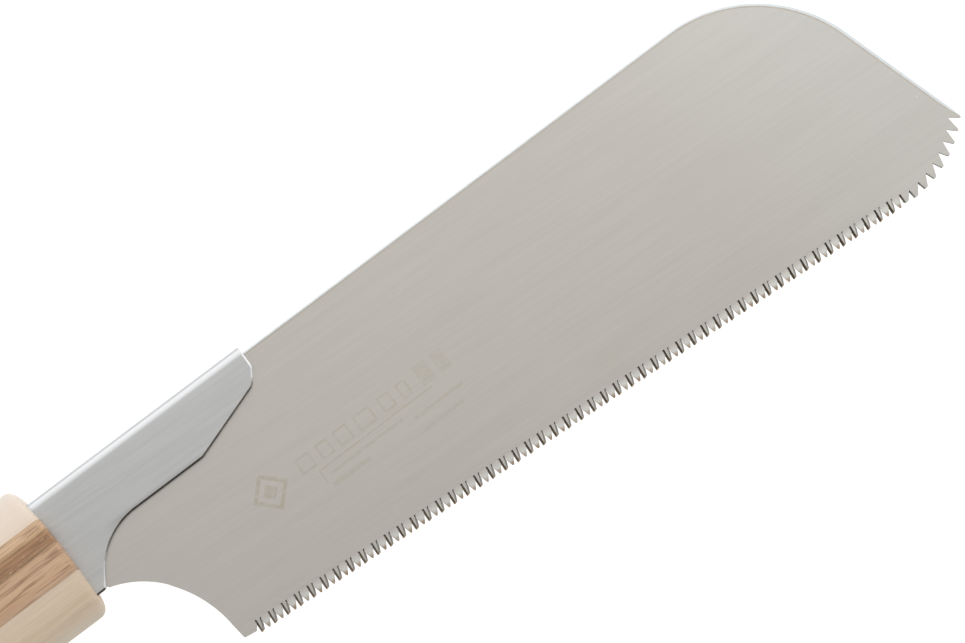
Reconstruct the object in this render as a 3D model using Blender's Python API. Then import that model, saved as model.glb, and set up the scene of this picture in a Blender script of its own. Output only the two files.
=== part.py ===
"""Pull saw with a replaceable single-edged blade.

A laminated wooden handle holds a folded sheet-steel blade holder on two
cross pins.  The blade's tail hooks over a third pin between the holder's
cheeks, and its back edge is pinched up inside the fold.

Layout: the saw lies on its side.  +X runs from the handle to the blade's
toe, +Y from the teeth to the back, +Z is up through the thickness.
All lengths below are in millimetres and are turned into metres by MM.
"""
import math

import bmesh
import bpy
from mathutils import Matrix, Vector

MM = 0.001

# ---------------------------------------------------------------- placement
# Saw coordinates: x = 0 at the handle's front face, y = 0 on the handle's
# centre line, z = 0 in the middle of the blade's thickness.
ORIGIN_X = 25.961          # saw origin in the shared frame
ORIGIN_Y = 15.139
HANDLE_HALF_T = 11.5      # half thickness of the handle, also the rest height

# ------------------------------------------------------------------- handle
HANDLE_LEN = 250.0
HANDLE_HALF_H = 15.55
FLAT_HALF_H = 6.0         # the broad sides are flat this far from the middle
FRONT_LEAN = 0.35         # the front face leans back towards the top edge
FRONT_R = 2.0             # rounding of the front end's narrow corners
FRONT_EASE = 0.5          # the same on the broad sides, where it is slight
BUTT_R = 3.5              # rounding of the butt end
LAMINA_TOP_Y = 7.34       # upper glue line
LAMINA_LOW_Y = -5.21      # lower glue line
GLUE = 0.05               # half of each glue line's thickness
BUTT_SWELL = 1.6          # the grip grows this much towards the butt
WAIST = 0.9               # and narrows this much in the middle

# ------------------------------------------------------------- blade holder
SHEET_T = 1.2
GAP = 0.70                # space between the two cheeks
HOLDER_HALF = GAP / 2 + SHEET_T
FOLD_TOP = 11.20          # outer line of the fold
FOLD_ROOF = 9.88          # inside of the fold, just above the blade's back
LEVEL_Y = -2.35           # lower edge of the cheeks past the sweep
TANG_X = -60.0
TANG_LOW_Y = -11.61
MORTISE_CLEAR = 0.12

# --------------------------------------------------------------------- pins
HOOK_X, HOOK_Y, HOOK_R = -3.0, -8.0, 1.5
TANG_PIN_R = 1.5
TANG_PIN_Y = 0.5
TANG_PIN_X = (-28.0, -50.0)
PIN_HOLE_CLEAR = 0.05

# -------------------------------------------------------------------- blade
BLADE_T = 0.60
BACK_Y = 9.55
EDGE_CHAMFER = 0.18
SET = 0.12                # each tooth leans this far to its own side
TOOTH_DEPTH = 2.85
N_PITCH = 100
TIP_A = (21.70, -37.17)   # first fine tooth's point
TIP_B = (174.74, -47.33)  # last one's
NOTCH_R = 1.55
TOE_C, TOE_R = (179.89, -21.87), 25.50      # circle of the coarse tips
TOE_GC, TOE_GR = (179.05, -21.64), 23.83   # circle of the coarse gullets


# ------------------------------------------------------------------ helpers
def arc(cx, cy, r, a0, a1, n):
    """n + 1 points on a circle from angle a0 to a1, in degrees."""
    out = []
    for i in range(n + 1):
        a = math.radians(a0 + (a1 - a0) * i / n)
        out.append((cx + r * math.cos(a), cy + r * math.sin(a)))
    return out


def arc_through(c, p, q, n, ccw):
    """Arc about c from the direction of p to the direction of q."""
    r = math.hypot(p[0] - c[0], p[1] - c[1])
    a0 = math.degrees(math.atan2(p[1] - c[1], p[0] - c[0]))
    a1 = math.degrees(math.atan2(q[1] - c[1], q[0] - c[0]))
    if ccw and a1 < a0:
        a1 += 360
    if not ccw and a1 > a0:
        a1 -= 360
    return arc(c[0], c[1], r, a0, a1, n)


def fillet(p, v, q, r, n):
    """Points of a round of radius r at the corner v between p and q."""
    a = Vector((p[0] - v[0], p[1] - v[1])).normalized()
    b = Vector((q[0] - v[0], q[1] - v[1])).normalized()
    half = math.acos(max(-1, min(1, a.dot(b)))) / 2
    t = r / math.tan(half)
    c = Vector(v) + (a + b).normalized() * (r / math.sin(half))
    s, e = Vector(v) + a * t, Vector(v) + b * t
    a0 = math.atan2(s.y - c.y, s.x - c.x)
    a1 = math.atan2(e.y - c.y, e.x - c.x)
    while a1 - a0 > math.pi:
        a1 -= 2 * math.pi
    while a1 - a0 < -math.pi:
        a1 += 2 * math.pi
    return [(c.x + r * math.cos(a0 + (a1 - a0) * i / n),
             c.y + r * math.sin(a0 + (a1 - a0) * i / n)) for i in range(n + 1)]


def material(name, colour, metallic, rough):
    mat = bpy.data.materials.new(name)
    mat.use_nodes = True
    b = mat.node_tree.nodes["Principled BSDF"]
    b.inputs["Base Color"].default_value = (*colour, 1.0)
    b.inputs["Metallic"].default_value = metallic
    b.inputs["Roughness"].default_value = rough
    mat.diffuse_color = (*colour, 1.0)
    return mat


def finish_mesh(name, bm, mat, pivot=(0.0, 0.0, 0.0), smooth=False):
    """Turn a bmesh in saw millimetres into a placed object in metres."""
    bmesh.ops.recalc_face_normals(bm, faces=bm.faces[:])
    off = Vector((ORIGIN_X, ORIGIN_Y, HANDLE_HALF_T))
    pv = Vector(pivot)
    for v in bm.verts:
        v.co = (v.co - pv) * MM
    me = bpy.data.meshes.new(name)
    bm.to_mesh(me)
    bm.free()
    me.materials.append(mat)
    ob = bpy.data.objects.new(name, me)
    ob.location = (off + pv) * MM
    bpy.context.scene.collection.objects.link(ob)
    if smooth:
        me.shade_smooth()
        me.set_sharp_from_angle(angle=math.radians(32))
    return ob


def prism(bm, pts, z0, z1):
    """Extrude a closed outline between two heights."""
    lo = [bm.verts.new((x, y, z0)) for x, y in pts]
    hi = [bm.verts.new((x, y, z1)) for x, y in pts]
    n = len(pts)
    bm.faces.new(lo)
    bm.faces.new(hi)
    for i in range(n):
        j = (i + 1) % n
        bm.faces.new((lo[i], lo[j], hi[j], hi[i]))


def cylinder(bm, x, y, r, z0, z1, n=32, chamfer=0.0):
    """Cylinder along Z with optional chamfered rims."""
    rings = [(z0, r - chamfer), (z0 + chamfer, r), (z1 - chamfer, r), (z1, r - chamfer)]
    if chamfer == 0.0:
        rings = [(z0, r), (z1, r)]
    loops = []
    for z, rr in rings:
        loops.append([bm.verts.new((x + rr * math.cos(2 * math.pi * i / n),
                                    y + rr * math.sin(2 * math.pi * i / n), z))
                      for i in range(n)])
    bm.faces.new(loops[0])
    bm.faces.new(loops[-1])
    for a, b in zip(loops, loops[1:]):
        for i in range(n):
            j = (i + 1) % n
            bm.faces.new((a[i], a[j], b[j], b[i]))


def cut(target, cutter, operation="DIFFERENCE"):
    """Exact boolean of two objects; the cutter is then removed."""
    cutter.hide_render = True
    cutter.display_type = "WIRE"
    mod = target.modifiers.new("cut", "BOOLEAN")
    mod.operation = operation
    mod.solver = "EXACT"
    mod.object = cutter
    bpy.context.view_layer.update()
    dg = bpy.context.evaluated_depsgraph_get()
    me = bpy.data.meshes.new_from_object(target.evaluated_get(dg))
    old = target.data
    name = old.name
    target.modifiers.remove(mod)
    target.data = me
    bpy.data.meshes.remove(old)
    me.name = name
    bpy.data.objects.remove(cutter, do_unlink=True)


def plain_object(name, bm):
    bmesh.ops.recalc_face_normals(bm, faces=bm.faces[:])
    off = Vector((ORIGIN_X, ORIGIN_Y, HANDLE_HALF_T))
    for v in bm.verts:
        v.co = v.co * MM
    me = bpy.data.meshes.new(name)
    bm.to_mesh(me)
    bm.free()
    ob = bpy.data.objects.new(name, me)
    ob.location = off * MM
    bpy.context.scene.collection.objects.link(ob)
    return ob


# -------------------------------------------------------------------- blade
def fine_tooth_rows():
    """Outline corners of the fine teeth, heel to toe, on both faces.

    The gullets are filed at an angle to the blade, leaning one way and then
    the other, so every second tooth shows its two knife bevels on the upper
    face and the teeth between show theirs on the lower face.  Each entry is
    ("apex" or "tooth", upper points, lower points, set direction).
    """
    ex, ey = TIP_B[0] - TIP_A[0], TIP_B[1] - TIP_A[1]
    length = math.hypot(ex, ey)
    ex, ey = ex / length, ey / length
    nx, ny = -ey, ex
    pitch = length / N_PITCH

    def at(base, s, h):
        return (TIP_A[0] + ex * (base + s) + nx * h, TIP_A[1] + ey * (base + s) + ny * h)

    d = TOOTH_DEPTH
    rows = []
    for k in range(N_PITCH // 2 + 1):
        b = 2 * pitch * k
        rows.append(("apex",
                     [at(b, -0.25, 1.75), at(b, -0.24, d - 0.05), at(b, 0.20, d)],
                     [at(b, -0.57, d - 0.05), at(b, -0.26, d - 0.02), at(b, -0.26, 1.70)], 0))
        rows.append(("tooth",
                     [at(b, 0.19, 0.44), at(b, 0.235, 0.24), at(b, 0.30, 0.44)],
                     [at(b, -0.22, 0.12), at(b, 0.0, 0.0), at(b, 0.66, 0.28)], -1))
        rows.append(("apex",
                     [at(b, 0.97, d - 0.05), at(b, 1.28, d - 0.02), at(b, 1.17, 1.62)],
                     [at(b, 1.12, 1.58), at(b, 1.28, d - 0.07), at(b, 1.73, d - 0.03)], 0))
        rows.append(("tooth",
                     [at(b, 1.55, 0.30), at(b, 1.75, 0.08), at(b, 2.01, 0.28)],
                     [at(b, 1.74, 0.44), at(b, 1.79, 0.26), at(b, 1.86, 0.44)], 1))
    return rows


def toe_tooth_rows():
    """The coarse plain teeth round the toe, from the fine teeth outwards."""
    tips = [math.radians(-94.18 + 6.159 * k) for k in range(9)]
    guls = [math.radians(-87.41 + 6.026 * k) for k in range(8)]
    rows = []
    for k in range(9):
        a = tips[k]
        cx, cy = TOE_C[0] + TOE_R * math.cos(a), TOE_C[1] + TOE_R * math.sin(a)
        tx, ty = -math.sin(a), math.cos(a)
        w = 0.34 - 0.02 * k
        lo, hi = (cx - tx * w, cy - ty * w), (cx + tx * w, cy + ty * w)
        mid = (cx + math.cos(a) * 0.07, cy + math.sin(a) * 0.07)
        if k == 0:
            # the first one keeps a knife bevel on its handle side
            up = [(lo[0] + 0.36, lo[1] + 0.40), (lo[0] + 0.42, lo[1] + 0.14), hi]
            rows.append(("tooth", up, [lo, mid, hi], 0))
        else:
            rows.append(("tooth", [lo, mid, hi], [lo, mid, hi], 0))
        if k < 8:
            g = guls[k]
            p = (TOE_GC[0] + TOE_GR * math.cos(g), TOE_GC[1] + TOE_GR * math.sin(g))
            q0 = (p[0] - 0.07, p[1] - 0.05)
            rows.append(("apex", [q0, (p[0] + 0.07, p[1] + 0.0)],
                         [q0, (p[0] + 0.07, p[1] + 0.0)], 0))
    return rows


def blade_plain_outline():
    """The blade's edge without teeth, from the toe's last tip round the
    back and the tail to the heel corner."""
    pts = []
    # front of the toe, then the round corner up to the back
    pts += [TOE_FRONT_LOW, TOE_FRONT_TOP]
    pts += arc_through(TOE_ARC_C, TOE_FRONT_TOP, (TOE_ARC_C[0], BACK_Y), 30, True)[1:]
    pts[-1] = (TOE_ARC_C[0], BACK_Y)
    # back edge, then the tail inside the holder
    pts += [(20.0, BACK_Y)]
    pts += fillet((160.3, BACK_Y), (14.0, BACK_Y), (-10.3, 3.0), 8.0, 4)
    pts += fillet((14.0, BACK_Y), (-10.3, 3.0), (-10.3, -11.2), 3.0, 6)
    pts += fillet((-10.3, 3.0), (-10.3, -11.2), (-4.6, -11.2), 1.0, 3)
    pts += [(HOOK_X - NOTCH_R - 0.5, -11.2), (HOOK_X - NOTCH_R, -10.4)]
    pts += arc(HOOK_X, HOOK_Y, NOTCH_R, 180, 0, 16)
    pts += [(HOOK_X + NOTCH_R, -9.4), (HOOK_X + NOTCH_R + 0.4, -9.9)]
    # lower edge of the tail and the hollow heel curve
    pts += [(1.0, -10.0), (2.25, -10.75)]
    pts += heel_curve()
    return pts


HEEL_C1, HEEL_R1 = (-3.09, -30.65), 19.87
HEEL_C2, HEEL_R2 = (-7.39, -33.96), 25.20
HEEL_CORNER = (18.14, -35.89)
FLAT_END = (20.86, -36.28)
TOE_ARC_C = (160.13, -21.06)
TOE_FRONT_TOP = (188.92, -10.66)
TOE_FRONT_LOW = (197.41, -37.22)


def heel_curve():
    pts = arc(HEEL_C1[0], HEEL_C1[1], HEEL_R1, 72.5, 38.5, 12)
    a0 = math.degrees(math.atan2(pts[-1][1] - HEEL_C2[1], pts[-1][0] - HEEL_C2[0]))
    pts += arc(HEEL_C2[0], HEEL_C2[1], HEEL_R2, a0 - 2.0, 3.4, 13)
    pts += fillet(pts[-1], HEEL_CORNER, FLAT_END, 0.35, 3)
    return pts


def build_blade(mat):
    rows = []
    rows += fine_tooth_rows()
    rows += [("apex", [(177.15, -44.92)], [(176.72, -44.88)], 0)]
    rows += toe_tooth_rows()
    plain = blade_plain_outline()
    rim = [("plain", [p], [p], 0) for p in plain + [FLAT_END]]

    bm = bmesh.new()
    zt = BLADE_T / 2
    upper, lower, kinds = [], [], []
    for kind, up, lo, side in rows + rim:
        if kind == "tooth":
            dz = SET * side
            u = [bm.verts.new((x, y, zt + dz)) for x, y in up]
            l = [bm.verts.new((x, y, -zt + dz)) for x, y in lo]
        else:
            u = [bm.verts.new((x, y, zt)) for x, y in up]
            l = [bm.verts.new((x, y, -zt)) for x, y in lo]
        upper.append(u)
        lower.append(l)
        kinds.append(kind)

    def skin(groups):
        """Flat face through everything but the teeth, plus one face a tooth."""
        main = []
        n = len(groups)
        for i, g in enumerate(groups):
            if kinds[i] != "tooth":
                main += g
            else:
                prev = groups[i - 1][-1]
                nxt = groups[(i + 1) % n][0]
                bm.faces.new([prev] + g + [nxt])
        bm.faces.new(main)

    skin(upper)
    skin(lower)
    flat_u = [v for g in upper for v in g]
    flat_l = [v for g in lower for v in g]
    n = len(flat_u)
    for i in range(n):
        j = (i + 1) % n
        bm.faces.new((flat_u[i], flat_u[j], flat_l[j], flat_l[i]))
    # ground chamfer along the back edge and the front of the toe
    bmesh.ops.recalc_face_normals(bm, faces=bm.faces[:])
    bm.normal_update()
    rims = []
    for e in bm.edges:
        a, b = e.verts[0].co, e.verts[1].co
        if abs(a.z - b.z) > 1e-6 or abs(abs(a.z) - zt) > 1e-6 or len(e.link_faces) != 2:
            continue
        on_back = min(a.y, b.y) > BACK_Y - 0.01 and min(a.x, b.x) > 19.9
        on_toe = min(a.x, b.x) > TOE_ARC_C[0] - 0.5 and min(a.y, b.y) > TOE_FRONT_LOW[1] - 0.01
        if on_back or on_toe:
            rims.append(e)
    bmesh.ops.bevel(bm, geom=rims, offset=EDGE_CHAMFER, offset_type="OFFSET",
                    segments=1, profile=0.5, affect="EDGES")
    return finish_mesh("blade", bm, mat, pivot=(HOOK_X, HOOK_Y, 0.0))


# ------------------------------------------------------------------- holder
def cheek_outline():
    """Side view of the folded holder, anticlockwise from the tang's end."""
    pts = [(TANG_X, TANG_LOW_Y + 2.0), (TANG_X + 2.0, TANG_LOW_Y)]
    pts += fillet((-20.0, TANG_LOW_Y), (2.30, TANG_LOW_Y), (3.05, -10.05), 0.9, 6)
    # quarter sweep up from the chin to the level lower edge
    pts += arc(16.48, -17.67, 15.32, 143.13, 90.0, 18)
    pts += fillet((16.5, LEVEL_Y), (33.10, LEVEL_Y), (48.80, 2.93), 2.2, 4)
    # slanted nose
    pts += fillet((33.34, -2.45), (49.15, 3.05), (51.39, 6.3), 2.6, 8)
    pts += [(51.51, 6.8), (51.59, 7.86)]
    pts += fillet((51.59, 7.86), (51.52, FOLD_TOP + 0.2), (40.0, FOLD_TOP + 0.2), 1.0, 5)
    pts += [(TANG_X, FOLD_TOP + 0.2)]
    return pts


def build_holder(mat):
    # U section of the fold, pushed along the whole length
    ro, ri = HOLDER_HALF, GAP / 2
    yc = FOLD_TOP - ro
    low = TANG_LOW_Y - 1.0
    sec = [(low, ro)]
    sec += [(yc + ro * math.sin(math.radians(a)), ro * math.cos(math.radians(a)))
            for a in range(0, 181, 12)]
    sec += [(low, -ro), (low, -ri)]
    roof, ease = FOLD_ROOF, 0.10
    sec += [(roof - ease, -ri), (roof - ease * 0.3, -ri + ease * 0.3), (roof, -ri + ease),
            (roof, ri - ease), (roof - ease * 0.3, ri - ease * 0.3), (roof - ease, ri)]
    sec += [(low, ri)]
    bm = bmesh.new()
    a = [bm.verts.new((TANG_X - 1, y, z)) for y, z in sec]
    b = [bm.verts.new((54.0, y, z)) for y, z in sec]
    bm.faces.new(a)
    bm.faces.new(b)
    n = len(sec)
    for i in range(n):
        j = (i + 1) % n
        bm.faces.new((a[i], a[j], b[j], b[i]))
    ob = finish_mesh("blade_holder", bm, mat)
    bm = bmesh.new()
    prism(bm, cheek_outline(), -4.0, 4.0)
    cut(ob, plain_object("outline_tool", bm), "INTERSECT")
    # holes for the hook pin and the two tang pins
    holes = [(HOOK_X, HOOK_Y, HOOK_R + PIN_HOLE_CLEAR)]
    holes += [(x, TANG_PIN_Y, TANG_PIN_R + PIN_HOLE_CLEAR) for x in TANG_PIN_X]
    for x, y, r in holes:
        bm = bmesh.new()
        cylinder(bm, x, y, r, -4.0, 4.0)
        cut(ob, plain_object("hole_tool", bm))
    ob.data.shade_smooth()
    ob.data.set_sharp_from_angle(angle=math.radians(32))
    return ob


# ------------------------------------------------------------------- handle
def half_height(x):
    """Outer half height of the handle at x, with its gentle waist."""
    t = -x / HANDLE_LEN
    waist = WAIST * math.sin(math.pi * min(1.0, t / 0.75)) ** 2 if t < 0.75 else 0.0
    swell = BUTT_SWELL * max(0.0, (t - 0.45) / 0.55) ** 2 * (3 - 2 * max(0.0, (t - 0.45) / 0.55))
    return HANDLE_HALF_H - waist + swell


def side_half(y, hh, inset, ease):
    """Half thickness at height y of the oval section, shrunk by inset in
    height and by ease in thickness."""
    b = HANDLE_HALF_T - ease
    ay = abs(y)
    if ay <= FLAT_HALF_H:
        return b
    reach = hh - inset - FLAT_HALF_H
    q = min(1.0, (ay - FLAT_HALF_H) / reach)
    return b * math.sqrt(max(0.0, 1.0 - q * q))


def stations():
    """(x, inset, ease) of the cross-sections from the front face to the butt."""
    out = []
    for i in range(6):
        a = math.radians(90 * i / 5)
        away = 1 - math.sin(a)
        out.append((-FRONT_R * (1 - math.cos(a)), FRONT_R * away, FRONT_EASE * away))
    for i in range(1, 24):
        x = -FRONT_R - (HANDLE_LEN - FRONT_R - BUTT_R) * i / 24
        out.append((x, 0.0, 0.0))
    for i in range(7):
        a = math.radians(90 * i / 6)
        away = BUTT_R * (1 - math.cos(a))
        out.append((-HANDLE_LEN + BUTT_R * (1 - math.sin(a)), away, away))
    return out


def front_shift(x, y):
    """Lean of the front face: the upper edge stands a little further back."""
    fade = max(0.0, 1.0 + x / 8.0)
    return -fade * FRONT_LEAN * max(0.0, (y + 2.0) / 10.0) ** 2


def lamina(name, y0, y1, mat):
    """One strip of the handle between two heights; None means the outside."""
    bm = bmesh.new()
    loops = []
    for x, inset, ease in stations():
        hh = half_height(x)
        lo = y0 if y0 is not None else -(hh - inset)
        hi = y1 if y1 is not None else hh - inset
        ys = []
        n = 12
        for i in range(n + 1):
            t = i / n
            if y1 is None:      # crowd the points towards the outer edge
                t = math.sin(t * math.pi / 2)
            elif y0 is None:
                t = 1 - math.cos(t * math.pi / 2)
            ys.append(lo + (hi - lo) * t)
        right = [(y, side_half(y, hh, inset, ease)) for y in ys]
        if y1 is None:
            right[-1] = (hi, 0.0)
        if y0 is None:
            right[0] = (lo, 0.0)
        left = [(y, -z) for y, z in reversed(right) if z > 1e-9]
        ring = right + left
        loops.append([bm.verts.new((x + front_shift(x, y), y, z)) for y, z in ring])
    # the two ends are ladders of flat strips across the thickness
    for ring in (loops[0], loops[-1]):
        m = len(ring)
        lo_i, hi_i = (1, m - 1) if y0 is None else (0, m - 1)
        if y0 is None:
            bm.faces.new((ring[0], ring[1], ring[m - 1]))
        while hi_i - lo_i > 1:
            if hi_i - lo_i == 2:
                bm.faces.new((ring[lo_i], ring[lo_i + 1], ring[hi_i]))
                break
            bm.faces.new((ring[lo_i], ring[lo_i + 1], ring[hi_i - 1], ring[hi_i]))
            lo_i += 1
            hi_i -= 1
    for a, b in zip(loops, loops[1:]):
        m = len(a)
        for i in range(m):
            j = (i + 1) % m
            bm.faces.new((a[i], a[j], b[j], b[i]))
    ob = finish_mesh(name, bm, mat)
    # blind slot that takes the holder's tang
    bm = bmesh.new()
    zc = HOLDER_HALF + MORTISE_CLEAR
    x0 = TANG_X - 2.0
    prism(bm, [(x0, TANG_LOW_Y - MORTISE_CLEAR), (3.0, TANG_LOW_Y - MORTISE_CLEAR),
               (3.0, FOLD_TOP + MORTISE_CLEAR), (x0, FOLD_TOP + MORTISE_CLEAR)], -zc, zc)
    cut(ob, plain_object("mortise_tool", bm))
    ob.data.shade_smooth()
    ob.data.set_sharp_from_angle(angle=math.radians(32))
    return ob


def build_handle(mat_pale_top, mat_core, mat_pale_low):
    top = lamina("handle_lamina_top", LAMINA_TOP_Y + GLUE, None, mat_pale_top)
    core = lamina("handle_lamina_core", LAMINA_LOW_Y + GLUE, LAMINA_TOP_Y - GLUE, mat_core)
    low = lamina("handle_lamina_bottom", None, LAMINA_LOW_Y - GLUE, mat_pale_low)
    for x in TANG_PIN_X:
        bm = bmesh.new()
        cylinder(bm, x, TANG_PIN_Y, TANG_PIN_R + PIN_HOLE_CLEAR, -20.0, 20.0)
        cut(core, plain_object("pin_hole_tool", bm))
    core.data.shade_smooth()
    core.data.set_sharp_from_angle(angle=math.radians(32))
    return [top, core, low]


# --------------------------------------------------------------------- pins
def build_pin(name, x, y, r, half_len, chamfer, mat):
    bm = bmesh.new()
    cylinder(bm, 0.0, 0.0, r, -half_len, half_len, chamfer=chamfer)
    for v in bm.verts:
        v.co += Vector((x, y, 0.0))
    return finish_mesh(name, bm, mat, pivot=(x, y, 0.0), smooth=True)


def main():
    for ob in list(bpy.data.objects):
        bpy.data.objects.remove(ob, do_unlink=True)
    steel_blade = material("blade_steel", (0.52, 0.51, 0.48), 1.0, 0.34)
    steel_sheet = material("holder_steel", (0.50, 0.52, 0.53), 1.0, 0.28)
    steel_pin_a = material("hook_pin_steel", (0.45, 0.45, 0.46), 1.0, 0.30)
    steel_pin_b = material("tang_pin_front_steel", (0.45, 0.45, 0.46), 1.0, 0.30)
    steel_pin_c = material("tang_pin_rear_steel", (0.45, 0.45, 0.46), 1.0, 0.30)
    pale_a = material("pale_wood_top", (0.80, 0.68, 0.53), 0.0, 0.55)
    brown = material("brown_wood_core", (0.42, 0.24, 0.13), 0.0, 0.55)
    pale_b = material("pale_wood_bottom", (0.74, 0.62, 0.46), 0.0, 0.55)

    build_blade(steel_blade)
    build_holder(steel_sheet)
    build_pin("hook_pin", HOOK_X, HOOK_Y, HOOK_R, HOLDER_HALF, 0.0, steel_pin_a)
    build_pin("tang_pin_front", TANG_PIN_X[0], TANG_PIN_Y, TANG_PIN_R,
              HANDLE_HALF_T - 0.1, 0.3, steel_pin_b)
    build_pin("tang_pin_rear", TANG_PIN_X[1], TANG_PIN_Y, TANG_PIN_R,
              HANDLE_HALF_T - 0.1, 0.3, steel_pin_c)
    build_handle(pale_a, brown, pale_b)
    bpy.context.view_layer.update()


main()
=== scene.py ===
"""Looks of the pull saw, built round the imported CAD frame.

Saw coordinates, used throughout: x = 0 at the handle's front face, y = 0 on
the handle's centre line, z = 0 in the middle of the blade's thickness, in
millimetres.  The place of that origin in the shared frame is read from the
CAD nodes' boxes.
"""
import math

import bmesh
import bpy
from mathutils import Matrix, Vector


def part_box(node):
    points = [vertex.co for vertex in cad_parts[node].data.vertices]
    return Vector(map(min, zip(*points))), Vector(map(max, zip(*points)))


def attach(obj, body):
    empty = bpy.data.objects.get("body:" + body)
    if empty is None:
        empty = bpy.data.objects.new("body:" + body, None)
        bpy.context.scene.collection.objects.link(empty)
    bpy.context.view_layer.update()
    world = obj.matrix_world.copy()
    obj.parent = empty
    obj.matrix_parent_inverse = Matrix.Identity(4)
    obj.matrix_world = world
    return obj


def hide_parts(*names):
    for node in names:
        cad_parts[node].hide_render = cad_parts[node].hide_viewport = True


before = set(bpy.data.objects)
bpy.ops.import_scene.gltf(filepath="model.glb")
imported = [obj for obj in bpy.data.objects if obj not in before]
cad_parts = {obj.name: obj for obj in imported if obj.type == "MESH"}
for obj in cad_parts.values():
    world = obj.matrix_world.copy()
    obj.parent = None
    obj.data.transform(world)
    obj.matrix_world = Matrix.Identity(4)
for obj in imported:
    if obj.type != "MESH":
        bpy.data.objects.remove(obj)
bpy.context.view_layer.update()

MM = 0.001

# ------------------------------------------------------------- CAD dimensions
HANDLE_HALF_T = 11.5
HANDLE_LEN = 250.0
HANDLE_HALF_H = 15.55
FLAT_HALF_H = 6.0
FRONT_LEAN = 0.35
FRONT_R = 2.0
FRONT_EASE = 0.3
FRONT_BOW = 0.42          # the front end grain stands this much proud of square
BUTT_R = 3.5
LAMINA_TOP_Y = 7.34
LAMINA_LOW_Y = -5.21
BUTT_SWELL = 1.6
WAIST = 0.9

SHEET_T = 1.2
GAP = 0.70
HOLDER_HALF = GAP / 2 + SHEET_T
FOLD_TOP = 11.20
FOLD_ROOF = 9.88
FOLD_START = 9.35
LEVEL_Y = -2.35
TANG_X = -60.0
TANG_LOW_Y = -11.61

HOOK_X, HOOK_Y, HOOK_R = -3.0, -8.0, 1.5
TANG_PIN_R = 1.5
TANG_PIN_Y = 0.5
TANG_PIN_X = (-28.0, -50.0)

BLADE_T = 0.60
BACK_Y = 9.55
SET = 0.12
TOOTH_DEPTH = 2.85
N_PITCH = 100
TIP_A = (21.70, -37.17)
TIP_B = (174.74, -47.33)
NOTCH_R = 1.55
TOE_C, TOE_R = (179.89, -21.87), 25.50
TOE_GC, TOE_GR = (179.05, -21.64), 23.83
TOE_ARC_C = (160.13, -21.06)
TOE_FRONT_TOP = (188.92, -10.66)
TOE_FRONT_LOW = (197.41, -37.22)
HEEL_C1, HEEL_R1 = (-3.09, -30.65), 19.87
HEEL_C2, HEEL_R2 = (-7.39, -33.96), 25.20
HEEL_CORNER = (18.14, -35.89)
FLAT_END = (20.86, -36.28)

# ------------------------------------------------------------- visual details
WOOD_SEAM = 0.008         # half of each glue line as it shows
SLOT_CLEAR = 0.05         # daylight round the holder where it enters the wood
CUT_W, CUT_D = 0.34, 0.22 # slope along the cheeks' cut edges, across and down
SHADE_LINE_W = 0.34               # width of the painted shade line inside the ground rim

# origin of the saw coordinates in the shared frame, from the CAD boxes
_core_lo, _core_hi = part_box("handle_lamina_core")
_hold_lo, _hold_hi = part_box("blade_holder")
ORIGIN = Vector((_core_hi.x, _hold_hi.y - FOLD_TOP * MM, (_hold_lo.z + _hold_hi.z) / 2))


# -------------------------------------------------------------------- helpers
def arc(cx, cy, r, a0, a1, n):
    out = []
    for i in range(n + 1):
        a = math.radians(a0 + (a1 - a0) * i / n)
        out.append((cx + r * math.cos(a), cy + r * math.sin(a)))
    return out


def arc_through(c, p, q, n, ccw):
    r = math.hypot(p[0] - c[0], p[1] - c[1])
    a0 = math.degrees(math.atan2(p[1] - c[1], p[0] - c[0]))
    a1 = math.degrees(math.atan2(q[1] - c[1], q[0] - c[0]))
    if ccw and a1 < a0:
        a1 += 360
    if not ccw and a1 > a0:
        a1 -= 360
    return arc(c[0], c[1], r, a0, a1, n)


def fillet(p, v, q, r, n):
    a = Vector((p[0] - v[0], p[1] - v[1])).normalized()
    b = Vector((q[0] - v[0], q[1] - v[1])).normalized()
    half = math.acos(max(-1, min(1, a.dot(b)))) / 2
    t = r / math.tan(half)
    c = Vector(v) + (a + b).normalized() * (r / math.sin(half))
    s, e = Vector(v) + a * t, Vector(v) + b * t
    a0 = math.atan2(s.y - c.y, s.x - c.x)
    a1 = math.atan2(e.y - c.y, e.x - c.x)
    while a1 - a0 > math.pi:
        a1 -= 2 * math.pi
    while a1 - a0 < -math.pi:
        a1 += 2 * math.pi
    return [(c.x + r * math.cos(a0 + (a1 - a0) * i / n),
             c.y + r * math.sin(a0 + (a1 - a0) * i / n)) for i in range(n + 1)]


def as_object(name, bm, mats, smooth=True, angle=32):
    """A bmesh in saw millimetres becomes an object with its origin at zero."""
    bmesh.ops.recalc_face_normals(bm, faces=bm.faces[:])
    for v in bm.verts:
        v.co = ORIGIN + v.co * MM
    me = bpy.data.meshes.new(name)
    bm.to_mesh(me)
    bm.free()
    for m in mats:
        me.materials.append(m)
    ob = bpy.data.objects.new(name, me)
    bpy.context.scene.collection.objects.link(ob)
    if smooth:
        me.shade_smooth()
        me.set_sharp_from_angle(angle=math.radians(angle))
    return ob


def prism(bm, pts, z0, z1):
    lo = [bm.verts.new((x, y, z0)) for x, y in pts]
    hi = [bm.verts.new((x, y, z1)) for x, y in pts]
    n = len(pts)
    bm.faces.new(lo)
    bm.faces.new(hi)
    for i in range(n):
        j = (i + 1) % n
        bm.faces.new((lo[i], lo[j], hi[j], hi[i]))


def cylinder(bm, x, y, r, z0, z1, n=48):
    lo = [bm.verts.new((x + r * math.cos(2 * math.pi * i / n), y + r * math.sin(2 * math.pi * i / n), z0))
          for i in range(n)]
    hi = [bm.verts.new((v.co.x, v.co.y, z1)) for v in lo]
    bm.faces.new(lo)
    bm.faces.new(hi)
    for i in range(n):
        j = (i + 1) % n
        bm.faces.new((lo[i], lo[j], hi[j], hi[i]))


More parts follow.
